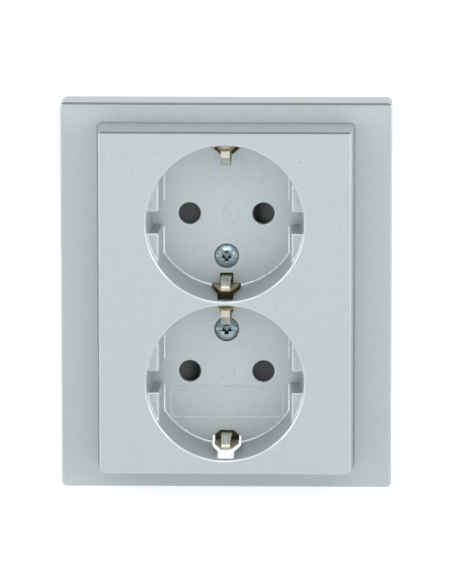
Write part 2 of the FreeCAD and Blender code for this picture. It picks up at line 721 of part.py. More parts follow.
def earth_bar():
    """The earth strip behind the wells, tapped for the cover screws, with a post to its terminal."""
    upper = WELL_CENTRES[0]
    middle = upper + EARTH_WIDE_REACH
    end = upper + wing_r(EARTH_FRONT_Y - FRONT) + CLIP_T
    arm = CLIP_W / 2
    bar = [block(-EARTH_W / 2, EARTH_W / 2, EARTH_FRONT_Y, EARTH_REAR_Y, -middle, middle),
           block(-arm, arm, EARTH_FRONT_Y, EARTH_REAR_Y, -end, end)]
    post_half = EARTH_W / 4
    post = block(-post_half, post_half, EARTH_REAR_Y, HOUSING_DEPTH, -EARTH_T / 2, EARTH_T / 2)
    plate = earth_link_outline(0, STRIP_Y, HOUSING_DEPTH)
    tab = terminal_tab(0)
    solid = fuse(bar + [post, plate, tab])
    tools = [rod(0, z, SCREW_R + CLAW_THREAD_PLAY, EARTH_FRONT_Y - PAST, EARTH_REAR_Y + PAST)
             for z in (SCREW_OFFSET, -SCREW_OFFSET)]
    return cut(solid, tools)


def terminal_tab(x):
    """The tab that a wire is clamped against."""
    left = x - TERMINAL_BAY_W / 2 + CHAMBER_CLEAR
    if x == 0:
        left += EARTH_LINK_INSET
    return block(left, left + TAB_T, STRIP_Y, HOUSING_DEPTH + TAB_L,
                 TERMINAL_BAY_LOW + CHAMBER_CLEAR, -TERMINAL_BAY_LOW - CHAMBER_CLEAR)


def contact_leaf(x, z, side):
    """One spring leaf beside a pin, flared at its tip."""
    near = x + side * PIN_GAP / 2
    far = near + side * LEAF_T
    low = z - LEAF_W / 2
    outline = [
        FreeCAD.Vector(near, STRIP_Y, low),
        FreeCAD.Vector(near, LEAF_START + LEAF_FLARE_L, low),
        FreeCAD.Vector(near + side * LEAF_FLARE, LEAF_START, low),
        FreeCAD.Vector(far + side * LEAF_FLARE, LEAF_START, low),
        FreeCAD.Vector(far, LEAF_START + LEAF_FLARE_L, low),
        FreeCAD.Vector(far, STRIP_Y, low),
    ]
    return prism(outline, FreeCAD.Vector(0, 0, LEAF_W))


def line_contact_bar():
    """The left contact bar: a back strip, two pairs of leaves and the terminal tab."""
    pieces = [strip_outline(0, STRIP_Y, HOUSING_DEPTH), terminal_tab(-TERMINAL_PITCH)]
    for z in WELL_CENTRES:
        for side in (-1, 1):
            pieces.append(contact_leaf(-PIN_X, z, side))
    return fuse(pieces)


def neutral_contact_bar():
    """The right contact bar, the left one's twin."""
    return mirrored(line_contact_bar())


def clamp_spring(x):
    """The folded steel spring that clamps a terminal's wires, reaching up under the release button."""
    right = x + TERMINAL_BAY_W / 2 - CHAMBER_CLEAR
    y0 = HOUSING_DEPTH + CLAMP_T / 2
    y1 = REAR_Y - REAR_WALL - BUTTON_FLANGE_T - BUTTON_PLAY
    tip_x = x - TERMINAL_BAY_W / 2 + CHAMBER_CLEAR + TAB_T + CLAMP_GAP
    tip_y = y0 + CLAMP_TIP
    low = TERMINAL_BAY_LOW + 2 * CHAMBER_CLEAR
    width = BUTTON_Z + BUTTON_SIZE / 4 - low
    outline = [
        FreeCAD.Vector(right, y0, low),
        FreeCAD.Vector(right, y1, low),
        FreeCAD.Vector(right - CLAMP_FOLD, y1, low),
        FreeCAD.Vector(tip_x, tip_y, low),
        FreeCAD.Vector(tip_x + CLAMP_T, tip_y - CLAMP_T / 2, low),
        FreeCAD.Vector(right - CLAMP_FOLD + CLAMP_T, y1 - CLAMP_T, low),
        FreeCAD.Vector(right - CLAMP_T, y1 - CLAMP_T, low),
        FreeCAD.Vector(right - CLAMP_T, y0, low),
    ]
    return prism(outline, FreeCAD.Vector(0, 0, width))


def release_button(x):
    """A push button that opens a clamp spring, kept in its guide by a flange."""
    inner = REAR_Y - REAR_WALL
    half = BUTTON_SIZE / 2
    low, high = BUTTON_Z - half, BUTTON_Z + half
    stem = block(x - half, x + half, inner - BUTTON_FLANGE_T, REAR_Y + BUTTON_PROUD, low, high)
    wide = half + BUTTON_FLANGE
    collar = block(x - wide, x + wide, inner - BUTTON_FLANGE_T, inner - BUTTON_PLAY, low, high)
    nose = block(x - half / 2, x + half / 2, inner - BUTTON_NOSE, inner, low + half / 2, high - half / 2)
    button = fuse([stem, collar, nose])
    rim = edges_near(button, lambda edge, box: flat_at(box, REAR_Y + BUTTON_PROUD))
    return button.makeChamfer(BUTTON_EDGE, rim)


def shutter_upper():
    """The upper shutter: a flat flap over the left hole, a ramp over the right one, and a bridge."""
    near, far = shutter_span()
    z = WELL_CENTRES[0]
    half = SHUTTER_H / 2
    front = BASE_FRONT + SHUTTER_PLAY
    flap = block(-far, -near, front, front + SHUTTER_THIN, z - half, z + half)
    bridge = block(-near, near, front, front + SHUTTER_THIN, z - BRIDGE_H / 2, z + BRIDGE_H / 2)
    ramp = [
        FreeCAD.Vector(near, front, z - half),
        FreeCAD.Vector(near + RAMP_LEAD, front, z - half),
        FreeCAD.Vector(near + RAMP_LEAD + RAMP_SLOPE, front + SHUTTER_T - RAMP_EDGE_T, z - half),
        FreeCAD.Vector(far, front, z - half),
        FreeCAD.Vector(far, front + SHUTTER_T, z - half),
        FreeCAD.Vector(near, front + SHUTTER_T, z - half),
    ]
    return fuse([flap, bridge, prism(ramp, FreeCAD.Vector(0, 0, SHUTTER_H))])


def shutter_lower():
    """The lower shutter, the upper one turned half a turn."""
    return turned(shutter_upper())


def shutter_spring_upper():
    """A serpentine spring between the upper shutter and the end of its pocket."""
    far = shutter_span()[1]
    z = WELL_CENTRES[0]
    y0 = BASE_FRONT + 2 * SHUTTER_PLAY
    y1 = y0 + SPRING_DEPTH
    half = SPRING_H / 2
    pitch = (SPRING_L - SPRING_WIRE) / (SPRING_LEGS - 1)
    pieces = []
    for leg in range(SPRING_LEGS):
        x = far + LAP + leg * pitch
        pieces.append(block(x, x + SPRING_WIRE, y0, y1, z - half, z + half))
        if leg < SPRING_LEGS - 1:
            top = half if leg % 2 else -half + SPRING_WIRE
            pieces.append(block(x, x + pitch + SPRING_WIRE, y0, y1, z + top - SPRING_WIRE, z + top))
    return fuse(pieces)


def shutter_spring_lower():
    """The lower shutter's spring."""
    return turned(shutter_spring_upper())


def cover_screw(z):
    """A raised-head screw with a slot and a cross recess."""
    seat = FLOOR_FRONT + SCREW_SEAT_DEPTH
    rim_y = seat - SCREW_HEAD_T
    top = rim_y - SCREW_DOME_T
    sphere_r = (SCREW_HEAD_R ** 2 + SCREW_DOME_T ** 2) / (2 * SCREW_DOME_T)
    ball = Part.makeSphere(sphere_r, FreeCAD.Vector(0, top + sphere_r, z))
    head = rod(0, z, SCREW_HEAD_R, top, seat).common(ball)
    shank = rod(0, z, SCREW_R, seat - LAP, seat + SCREW_L)
    screw = fuse([head, shank])
    wide = SCREW_HEAD_R + PAST
    slot_half = SCREW_SLOT_W / 2
    tools = [block(-wide, wide, top - PAST, top + SCREW_SLOT_DEPTH, z - slot_half, z + slot_half)]
    blade = SCREW_CROSS_W / 2
    reach = SCREW_CROSS_L / 2
    for long_x, long_z in ((reach, blade), (blade, reach)):
        outlines = []
        for y, share in ((top - LAP, 1.0), (top + SCREW_CROSS_DEPTH, SCREW_CROSS_TAPER)):
            corners = [FreeCAD.Vector(sx * long_x * share, y, z + sz * long_z * share)
                       for sx, sz in ((-1, -1), (1, -1), (1, 1), (-1, 1))]
            outlines.append(Part.makePolygon(corners + corners[:1]))
        tools.append(Part.makeLoft(outlines, True, True))
    return cut(screw, tools)


def claw_screw():
    """The right claw's long screw."""
    head = rod(CLAW_X, 0, CLAW_HEAD_R, RING_FRONT - CLAW_HEAD_T, RING_FRONT)
    rim = edges_near(head, lambda edge, box: flat_at(box, RING_FRONT - CLAW_HEAD_T))
    head = head.makeChamfer(CLAW_HEAD_EDGE, rim)
    shank = rod(CLAW_X, 0, CLAW_SCREW_R, RING_FRONT - LAP, HOUSING_DEPTH + CLAW_SCREW_PROUD)
    top = RING_FRONT - CLAW_HEAD_T
    wide = CLAW_HEAD_R + PAST
    slot = block(CLAW_X - wide, CLAW_X + wide, top - PAST, top + CLAW_HEAD_T / 2,
                 -SCREW_SLOT_W / 2, SCREW_SLOT_W / 2)
    return cut(fuse([head, shank]), [slot])


def claw_nut():
    """The right claw's threaded block, with the cross pin that the claw swings on."""
    y0 = CLAW_NUT_Y
    y1 = y0 + CLAW_NUT_L
    left = BODY_FLAT_X + CLAW_NUT_GAP
    right = CLAW_X + CLAW_NUT_OUT
    half = CLAW_NUT_H / 2
    nut = block(left, right, y0, y1, -half, half)
    pivot_x = CLAW_X + CLAW_PIVOT_OUT
    pivot_y = (y0 + y1) / 2
    web_half = half - CLAW_EYE_W - CLAW_EYE_PLAY
    web = block(right - LAP, pivot_x, pivot_y - CLAW_PIN_R, pivot_y + CLAW_PIN_R, -web_half, web_half)
    pin = pin_z(pivot_x, pivot_y, CLAW_PIN_R, -half, half)
    bore = rod(CLAW_X, 0, CLAW_SCREW_R + CLAW_THREAD_PLAY, y0 - PAST, y1 + PAST)
    bays = [pin_z(pivot_x, pivot_y, CLAW_EYE_R + 2 * CLAW_EYE_PLAY, web_half, half + PAST),
            pin_z(pivot_x, pivot_y, CLAW_EYE_R + 2 * CLAW_EYE_PLAY, -half - PAST, -web_half)]
    return cut(fuse([nut.cut(bays), web, pin]), [bore])


def claw():
    """The right claw: a toothed leg on two eyes."""
    half = CLAW_NUT_H / 2
    pivot_x = CLAW_X + CLAW_PIVOT_OUT
    pivot_y = CLAW_NUT_Y + CLAW_NUT_L / 2
    web_half = half - CLAW_EYE_W
    left = pivot_x + LAP
    right = left + CLAW_LEG_T
    leg_end = pivot_y - CLAW_LEG_L
    shoulder = pivot_y - CLAW_EYE_R - CLAW_SHOULDER
    pieces = [block(left, right, leg_end, shoulder, -half, half)]
    for low in (-half, web_half):
        pieces.append(block(left, right, shoulder - LAP, pivot_y, low, low + CLAW_EYE_W))
        pieces.append(pin_z(pivot_x, pivot_y, CLAW_EYE_R, low, low + CLAW_EYE_W))
    step = CLAW_NUT_H / CLAW_TEETH
    for tooth in range(CLAW_TEETH):
        low = -half + tooth * step
        outline = [
            FreeCAD.Vector(right - LAP, leg_end, low),
            FreeCAD.Vector(right + CLAW_TOOTH, leg_end, low + step / 2),
            FreeCAD.Vector(right - LAP, leg_end, low + step),
        ]
        pieces.append(prism(outline, FreeCAD.Vector(0, 2 * CLAW_TOOTH, 0)))
    bore = pin_z(pivot_x, pivot_y, CLAW_PIN_R + CLAW_EYE_PLAY, -half - PAST, half + PAST)
    return cut(fuse(pieces), [bore])


def all_nodes():
    """Every piece by its name."""
    nodes = {
        "cover_frame": cover_frame(),
        "socket_cover": socket_cover(),
        "well_floor_upper": well_floor(WELL_CENTRES[0], 1, upper_mark_cutters()),
        "well_floor_lower": well_floor(WELL_CENTRES[1], -1, lower_mark_cutters()),
        "cover_screw_upper": cover_screw(SCREW_OFFSET),
        "cover_screw_lower": cover_screw(-SCREW_OFFSET),
        "shutter_upper": shutter_upper(),
        "shutter_lower": shutter_lower(),
        "shutter_spring_upper": shutter_spring_upper(),
        "shutter_spring_lower": shutter_spring_lower(),
        "base_housing": base_housing(),
        "terminal_housing": terminal_housing(),
        "mounting_ring": mounting_ring(),
        "ring_rivets": ring_rivets(),
        "earth_bar": earth_bar(),
        "earth_clip_top": earth_clip_top(),
        "earth_clip_bottom": earth_clip_bottom(),
        "earth_clip_centre": earth_clip_centre(),
        "line_contact_bar": line_contact_bar(),
        "neutral_contact_bar": neutral_contact_bar(),
    }
    for name, column in (("left", -1), ("earth", 0), ("right", 1)):
        spring = clamp_spring(-abs(column) * TERMINAL_PITCH)
        nodes["clamp_spring_" + name] = mirrored(spring) if column > 0 else spring
        nodes["release_button_" + name] = release_button(column * TERMINAL_PITCH)
    for name, right in (("claw_screw", claw_screw()), ("claw_nut", claw_nut()), ("claw", claw())):
        nodes[name + "_right"] = right
        nodes[name + "_left"] = mirrored(right)
    return nodes


os.makedirs("parts", exist_ok=True)
for name, shape in all_nodes().items():
    shape.exportStep("parts/" + name + ".step")
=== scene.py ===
import math

import bmesh
import bpy
from mathutils import Matrix, Vector


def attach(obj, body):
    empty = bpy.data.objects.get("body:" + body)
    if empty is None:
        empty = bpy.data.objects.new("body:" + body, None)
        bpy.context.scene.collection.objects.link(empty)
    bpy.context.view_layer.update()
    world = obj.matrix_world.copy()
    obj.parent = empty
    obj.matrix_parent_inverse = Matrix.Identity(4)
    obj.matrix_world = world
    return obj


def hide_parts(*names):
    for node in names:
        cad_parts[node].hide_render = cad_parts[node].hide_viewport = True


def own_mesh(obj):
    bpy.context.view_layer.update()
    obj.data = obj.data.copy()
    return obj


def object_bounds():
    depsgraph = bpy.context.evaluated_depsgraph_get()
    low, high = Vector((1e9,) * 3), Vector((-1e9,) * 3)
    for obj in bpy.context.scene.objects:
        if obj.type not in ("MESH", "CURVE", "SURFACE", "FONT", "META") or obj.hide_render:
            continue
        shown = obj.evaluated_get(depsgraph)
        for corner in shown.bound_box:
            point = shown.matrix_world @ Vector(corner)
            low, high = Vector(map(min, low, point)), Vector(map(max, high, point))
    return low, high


# A twin earthed wall socket in silver lacquered plastic, seen almost square on from a little above.
# The part's frame is in metres: the wall is Y = 0, the room is on the -Y side and +Z is up.

MM = 0.001
WHITE = (1.0, 1.0, 1.0, 1.0)

# The camera, fitted to the outlines of the frame, the cover and the wells, with its angles in degrees
CAMERA_TARGET = (-0.07 * MM, -10.0 * MM, 0.79 * MM)
CAMERA_DISTANCE = 1.5496
CAMERA_AZIMUTH = 1.559
CAMERA_ELEVATION = 10.097
CAMERA_ROLL = -0.064
CAMERA_LENS = 372.0
CAMERA_SENSOR = 36.0
CAMERA_NEAR = 0.05
CAMERA_FAR = 20.0

# The surround: its tint and level on shaded surfaces, and its level in gloss, which rises to 1
# between two depths, from the dim room in front of the socket to the bright wall behind it
SURROUND = (0.95, 0.98, 1.0, 1.0)
SURROUND_LEVEL = 0.6
ROOM_GLOSS = 0.25
ROOM_DEPTHS = (-0.7, 0.1)

# The soft boxes, as place, size and power; the glint boxes show only in gloss, along the rims
SOFT_BOXES = {
    "soft_box_front": ((0.05, -1.3, -0.1), (0.9, 0.7), 1.8),
    "soft_box_low": ((0.0, -1.1, -1.0), (0.9, 0.5), 1.6),
    "soft_box_left": ((-0.9, -0.7, 0.1), (0.5, 0.5), 2.1),
    "soft_box_right": ((0.9, -0.8, 0.1), (0.5, 0.5), 2.6),
}
GLINT_BOXES = {
    "glint_above": ((0.0, -0.35, 1.0), (1.0, 0.35), 5.0),
    "glint_high": ((0.0, -1.0, 0.8), (1.3, 0.3), 5.0),
    "glint_left": ((-1.0, -0.3, 0.45), (0.35, 0.9), 7.0),
    "glint_right": ((1.0, -0.3, 0.45), (0.35, 0.9), 7.0),
}

# The ground under the socket, and the glow that lifts it to near white for the eye
GROUND_HALF = 3.0
GROUND_COLOUR = (0.9, 0.9, 0.9, 1.0)
GROUND_ROUGHNESS = 0.9
GROUND_GLOW = 0.6

# Places that the detailed pieces share with the part, in millimetres
WELL_Z = 20.625
FRONT_Y = -23.1
EARTH_Y = -2.6
WELL_FLOOR_Y = -6.1
WELL_FLOOR_R = 19.21
KEY_X = 16.3
KEY_SLOT_HALF = 2.85
EARTH_SLOT_HALF = 3.75

# The beads in the corners of the well floors
BEAD_R = 0.4
BEAD_KEY_GAP = 0.5
BEAD_LINE_STEPS = 24
BEAD_ROUND_STEPS = 4

# The strip between the cover and the frame's opening, in a painted shade of the gap, by the half sizes of its
# inner and outer line
SEAM_INNER = (32.74, 44.84)
SEAM_OUTER = (32.99, 45.09)
SEAM_CORNER = 1.2
SEAM_Y = -11.05
SEAM_T = 0.2
SEAM_CORNER_STEPS = 6

# The earth clips: sheet, half widths, rounding of the rims, and distances from the well's axis. A tongue
# widens over its taper's depth, and a plate's middle, in a painted highlight that stands for the real plate's
# bend, ends at a share of its half width
CLIP_T = 0.5
CLIP_HALF_W = 3.15
CLIP_RIM_ANGLE = 40.0
TONGUE_HALF_TIP = 1.15
TONGUE_HALF_BACK = 1.35
TONGUE_TAPER = 7.4
TONGUE_CROWN = 0.06
TONGUE_RIM = 0.09
TONGUE_STEPS = 6
PLATE_RIM = 0.07
PLATE_HIGHLIGHT_SHARE = 0.55
PLATE_FOOT_R = 18.4
BOW_FOOT_R = 16.1
FOOT_STEPS = 4

# A wing plate's outline, as half width, distance from the well's axis and depth behind the cover's front
WING_OUTLINE = ((TONGUE_HALF_TIP, 17.85, 5.4), (TONGUE_HALF_TIP + 0.5, 17.95, 7.4), (2.5, 18.05, 11.4),
                (CLIP_HALF_W, 18.2, 14.5), (CLIP_HALF_W, PLATE_FOOT_R, 20.0))

# Each bow's centre line, as distance from the well's axis and depth behind the cover's front
SHALLOW_BOW = ((18.1, 5.0), (17.3, 5.0), (16.75, 6.2), (16.2, 8.4), (15.95, 10.4), (16.0, 12.6),
               (16.25, 14.8), (16.35, 17.0), (16.35, 19.8))
DEEP_BOW = ((18.1, 5.0), (17.2, 5.0), (16.5, 5.1), (15.7, 6.2), (14.5, 8.3), (13.75, 10.2), (14.0, 12.2),
            (15.2, 14.6), (16.25, 16.8), (16.35, 19.8))

# Where noise starts and ends in each pattern, and the scale of tarnish
FLECK_LEVELS = (0.35, 0.7)
LINE_LEVELS = (0.3, 0.7)
TARNISH_LEVELS = (0.42, 0.72)
TARNISH_SCALE = 320.0

# The direction of drawn lines in metal, as the stretch of their noise
NO_LINES = (1.0, 1.0, 1.0)
LINES_ALONG_X = (0.06, 1.0, 1.0)
LINES_ALONG_Y = (1.0, 0.06, 1.0)
LINES_ALONG_Z = (1.0, 1.0, 0.06)
LINES_ALONG_STRIP = (1.0, 0.06, 0.06)

# The relief and the coat of every finish, and the screen colours that several finishes share: a painted shade
# for upper front edges, a painted highlight for lacquer edges, dark specks, and painted shade for corners and
# recesses
RELIEF_DEPTH = 0.05
COAT_ROUGHNESS = 0.25
TOP_EDGE_PAINTED_SHADE = (104, 112, 114)
LACQUER_EDGE_HIGHLIGHT = (250, 253, 254)
LACQUER_PAINTED_SHADE = (112, 124, 126)
LACQUER_SPECK = (96, 98, 94)
PLASTIC_PAINTED_SHADE = (12, 12, 12)
METAL_PAINTED_SHADE = (30, 38, 38)


def rgb(colour):
    """A linear colour from a screen colour out of 255."""
    linear = []
    for value in colour:
        share = value / 255.0
        linear.append(share / 12.92 if share <= 0.04045 else ((share + 0.055) / 1.055) ** 2.4)
    return (linear[0], linear[1], linear[2], 1.0)


def shifted(colour, steps):
    """A linear colour from a screen colour moved by some steps."""
    return rgb([max(value + step, 0) for value, step in zip(colour, steps)])


def put_in_scene(name, data):
    """A new object in the scene's own collection."""
    item = bpy.data.objects.new(name, data)
    bpy.context.scene.collection.objects.link(item)
    return item


def camera():
    """The camera at the photograph's angle."""
    azimuth = math.radians(CAMERA_AZIMUTH)
    elevation = math.radians(CAMERA_ELEVATION)
    back = Vector((math.sin(azimuth) * math.cos(elevation),
                   -math.cos(azimuth) * math.cos(elevation),
                   math.sin(elevation)))
    data = bpy.data.cameras.new("camera")
    data.lens = CAMERA_LENS
    data.sensor_width = CAMERA_SENSOR
    data.clip_start = CAMERA_NEAR
    data.clip_end = CAMERA_FAR
    eye = put_in_scene("camera", data)
    eye.location = Vector(CAMERA_TARGET) + CAMERA_DISTANCE * back
    turn = (-back).to_track_quat("-Z", "Y").to_matrix().to_4x4()
    roll = Matrix.Rotation(math.radians(CAMERA_ROLL), 4, "Z")
    eye.rotation_euler = (turn @ roll).to_euler()
    bpy.context.scene.camera = eye


def place_node(tree, kind, **settings):
    """A new node with some of its settings and sockets filled in."""
    item = tree.nodes.new(kind)
    for name, value in settings.items():
        if name in item.inputs:
            item.inputs[name].default_value = value
        else:
            setattr(item, name, value)
    return item


def feed(tree, value, socket):
    """A value or another node's answer, put into a socket."""
    if isinstance(value, bpy.types.NodeSocket):
        tree.links.new(value, socket)
    else:
        socket.default_value = value


def reckon(tree, operation, *values, clamp=False):
    """The answer of a sum over numbers or other nodes' answers."""
    item = place_node(tree, "ShaderNodeMath", operation=operation, use_clamp=clamp)
    for value, socket in zip(values, item.inputs):
        feed(tree, value, socket)
    return item.outputs[0]


def spread(tree, value, levels, bottom=0.0):
    """A value stretched to run from a bottom to one between two levels."""
    span = place_node(tree, "ShaderNodeMapRange", **{"From Min": levels[0], "From Max": levels[1],
                                                     "To Min": bottom})
    tree.links.new(value, span.inputs["Value"])
    return span.outputs["Result"]


def noise(tree, where, scale, detail):
    """Soft noise over the object's own coordinates."""
    cloud = place_node(tree, "ShaderNodeTexNoise", Detail=detail, Roughness=0.55)
    tree.links.new(where, cloud.inputs["Vector"])
    feed(tree, scale, cloud.inputs["Scale"])
    return cloud.outputs["Fac"]


def blended(tree, share, first, second):
    """One colour mixed towards another by a share."""
    mix = place_node(tree, "ShaderNodeMix", data_type="RGBA")
    tree.links.new(share, mix.inputs["Factor"])
    feed(tree, first, mix.inputs[6])
    feed(tree, second, mix.inputs[7])
    return mix.outputs[2]


def mixed_shader(tree, share, first, second):
    """One shader mixed towards another by a share."""
    mix = place_node(tree, "ShaderNodeMixShader")
    for value, socket in zip((share, first, second), mix.inputs):
        tree.links.new(value, socket)
    return mix.outputs[0]


def in_gloss(tree, path):
    """One where a surface is seen in a mirror or through glass, from the light's path."""
    return reckon(tree, "MAXIMUM", path.outputs["Is Glossy Ray"], path.outputs["Is Transmission Ray"])


def lamp(name, place, size, power):
    """A rectangular soft box that faces the socket."""
    data = bpy.data.lights.new(name, "AREA")
    data.shape = "RECTANGLE"
    data.size, data.size_y = size
    data.energy = power
    box = put_in_scene(name, data)
    box.location = place
    box.rotation_euler = (-Vector(place)).to_track_quat("-Z", "Y").to_euler()
    return box


def studio():
    """Soft even light in a white surround, with a dimmer room in front of the socket to show in gloss."""
    bpy.context.scene.view_settings.view_transform = "Standard"
    world = bpy.data.worlds.new("studio")
    bpy.context.scene.world = world
    world.use_nodes = True
    tree = world.node_tree
    tree.nodes.clear()
    path = place_node(tree, "ShaderNodeLightPath")
    way = place_node(tree, "ShaderNodeSeparateXYZ")
    tree.links.new(place_node(tree, "ShaderNodeTexCoord").outputs["Generated"], way.inputs[0])
    shade = place_node(tree, "ShaderNodeBackground", Color=SURROUND, Strength=SURROUND_LEVEL)
    room = place_node(tree, "ShaderNodeBackground", Color=WHITE)
    tree.links.new(spread(tree, way.outputs["Y"], ROOM_DEPTHS, ROOM_GLOSS), room.inputs["Strength"])
    plain = place_node(tree, "ShaderNodeBackground", Color=WHITE, Strength=1.0)
    lit = mixed_shader(tree, in_gloss(tree, path), shade.outputs[0], room.outputs[0])
    seen = mixed_shader(tree, path.outputs["Is Camera Ray"], lit, plain.outputs[0])
    tree.links.new(seen, place_node(tree, "ShaderNodeOutputWorld").inputs["Surface"])
    for name, (place, size, power) in SOFT_BOXES.items():
        lamp(name, place, size, power)
    for name, (place, size, power) in GLINT_BOXES.items():
        lamp(name, place, size, power).visible_diffuse = False


def ground():
    """The pale floor under the frame's lower edge: near white to the eye, with the socket's shadow on it."""
    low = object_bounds()[0][2]
    corners = [(x * GROUND_HALF, y * GROUND_HALF, low) for x, y in ((-1, -1), (1, -1), (1, 1), (-1, 1))]
    mesh = bpy.data.meshes.new("floor")
    mesh.from_pydata(corners, [], [(0, 1, 2, 3)])
    plane = put_in_scene("floor", mesh)
    material = bpy.data.materials.new("pale_floor")
    material.use_nodes = True
    tree = material.node_tree
    shader = tree.nodes["Principled BSDF"]
    shader.inputs["Base Color"].default_value = GROUND_COLOUR
    shader.inputs["Roughness"].default_value = GROUND_ROUGHNESS
    shader.inputs["Specular IOR Level"].default_value = 0.0
    glow = place_node(tree, "ShaderNodeEmission", Color=WHITE, Strength=GROUND_GLOW)
    glowing = place_node(tree, "ShaderNodeAddShader")
    tree.links.new(shader.outputs[0], glowing.inputs[0])
    tree.links.new(glow.outputs[0], glowing.inputs[1])
    path = place_node(tree, "ShaderNodeLightPath")
    seen = reckon(tree, "MAXIMUM", path.outputs["Is Camera Ray"], in_gloss(tree, path))
    look = mixed_shader(tree, seen, shader.outputs[0], glowing.outputs[0])
    tree.links.new(look, tree.nodes["Material Output"].inputs["Surface"])
    mesh.materials.append(material)
    plane.visible_shadow = False


def new_group(name, inputs, outputs):
    """An empty shader group with named sockets, and its two end nodes."""
    group = bpy.data.node_groups.new(name, "ShaderNodeTree")
    for title, kind, value in inputs:
        socket = group.interface.new_socket(title, in_out="INPUT", socket_type="NodeSocket" + kind)
        socket.default_value = value
    for title, kind in outputs:
        group.interface.new_socket(title, in_out="OUTPUT", socket_type="NodeSocket" + kind)
    return group, place_node(group, "NodeGroupInput").outputs, place_node(group, "NodeGroupOutput").inputs


def patterned(group, given, put, pattern, colour):
    """The answers of a finish: its colour, and a roughness and height that follow its pattern."""
    rough = reckon(group, "MULTIPLY_ADD", pattern, given["Roughness Span"], given["Roughness"])
    group.links.new(colour, put["Color"])
    group.links.new(rough, put["Roughness"])
    group.links.new(pattern, put["Height"])


def finish_group():
    """Flecks and slow clouds in a moulded or lacquered surface."""
    group, given, put = new_group(
        "flecked_finish",
        [("Color", "Color", (0.8, 0.8, 0.8, 1.0)), ("Fleck Color", "Color", WHITE),
         ("Cloud Color", "Color", (0.6, 0.6, 0.6, 1.0)), ("Fleck Scale", "Float", 2600.0),
         ("Fleck Share", "Float", 0.3), ("Cloud Scale", "Float", 160.0), ("Cloud Share", "Float", 0.2),
         ("Roughness", "Float", 0.4), ("Roughness Span", "Float", 0.1)],
        [("Color", "Color"), ("Roughness", "Float"), ("Height", "Float")])
    where = place_node(group, "ShaderNodeTexCoord").outputs["Object"]
    fleck = spread(group, noise(group, where, given["Fleck Scale"], 2.0), FLECK_LEVELS)
    cloud = spread(group, noise(group, where, given["Cloud Scale"], 4.0), FLECK_LEVELS)
    clouded = blended(group, reckon(group, "MULTIPLY", cloud, given["Cloud Share"]),
                      given["Color"], given["Cloud Color"])
    flecked = blended(group, reckon(group, "MULTIPLY", fleck, given["Fleck Share"]),
                      clouded, given["Fleck Color"])
    patterned(group, given, put, fleck, flecked)
    return group


def grain_group():
    """Fine drawn lines along one direction of a rolled or brushed metal, with slow tarnish."""
    group, given, put = new_group(
        "rolled_grain",
        [("Color", "Color", (0.7, 0.7, 0.7, 1.0)), ("Line Color", "Color", (0.5, 0.5, 0.5, 1.0)),
         ("Tarnish Color", "Color", (0.4, 0.35, 0.25, 1.0)), ("Stretch", "Vector", (1.0, 1.0, 0.08)),
         ("Line Scale", "Float", 3000.0), ("Line Share", "Float", 0.3), ("Tarnish Share", "Float", 0.3),
         ("Roughness", "Float", 0.3), ("Roughness Span", "Float", 0.15)],
        [("Color", "Color"), ("Roughness", "Float"), ("Height", "Float")])
    where = place_node(group, "ShaderNodeTexCoord").outputs["Object"]
    stretched = place_node(group, "ShaderNodeVectorMath", operation="MULTIPLY")
    group.links.new(where, stretched.inputs[0])
    group.links.new(given["Stretch"], stretched.inputs[1])
    line = spread(group, noise(group, stretched.outputs[0], given["Line Scale"], 2.0), LINE_LEVELS)
    tarnish = spread(group, noise(group, where, TARNISH_SCALE, 5.0), TARNISH_LEVELS)
    lined = blended(group, reckon(group, "MULTIPLY", line, given["Line Share"]),
                    given["Color"], given["Line Color"])
    toned = blended(group, reckon(group, "MULTIPLY", tarnish, given["Tarnish Share"]),
                    lined, given["Tarnish Color"])
    patterned(group, given, put, line, toned)
    return group


def edge_highlight_group():
    """A mask along the sharp edges, for a painted highlight, and the normal of edges that are a little round.
    """
    group, given, put = new_group("edge_highlight_and_rounding", [("Radius", "Float", 0.0003), ("Reach", "Float", 8.0)],
                                  [("Mask", "Float"), ("Normal", "Vector")])
    bevel = place_node(group, "ShaderNodeBevel", samples=6)
    group.links.new(given["Radius"], bevel.inputs["Radius"])
    along = place_node(group, "ShaderNodeVectorMath", operation="DOT_PRODUCT")
    group.links.new(bevel.outputs["Normal"], along.inputs[0])
    group.links.new(place_node(group, "ShaderNodeNewGeometry").outputs["Normal"], along.inputs[1])
    off = reckon(group, "SUBTRACT", 1.0, along.outputs["Value"])
    group.links.new(reckon(group, "MULTIPLY", off, given["Reach"], clamp=True), put["Mask"])
    group.links.new(bevel.outputs["Normal"], put["Normal"])
    return group


def corner_shade_group():
    """A painted shade mask from ambient occlusion, that grows in corners and recesses."""
    group, given, put = new_group("painted_corner_shade", [("Reach", "Float", 0.01), ("Share", "Float", 0.3)],
                                  [("Mask", "Float")])
    open_sky = place_node(group, "ShaderNodeAmbientOcclusion", samples=8)
    group.links.new(given["Reach"], open_sky.inputs["Distance"])
    closed = reckon(group, "SUBTRACT", 1.0, open_sky.outputs["AO"], clamp=True)
    group.links.new(reckon(group, "MULTIPLY", closed, given["Share"]), put["Mask"])
    return group


def top_edge_shade_group():
    """A painted shade mask along an upper front edge, above some height and in front of some depth."""
    group, given, put = new_group("painted_top_edge_shade_mask", [("Height", "Float", 1.0), ("Depth", "Float", -1.0)],
                                  [("Mask", "Float")])
    place = place_node(group, "ShaderNodeSeparateXYZ")
    group.links.new(place_node(group, "ShaderNodeTexCoord").outputs["Object"], place.inputs[0])
    above = reckon(group, "GREATER_THAN", place.outputs["Z"], given["Height"])
    before = reckon(group, "LESS_THAN", place.outputs["Y"], given["Depth"])
    group.links.new(reckon(group, "MULTIPLY", above, before), put["Mask"])
    return group


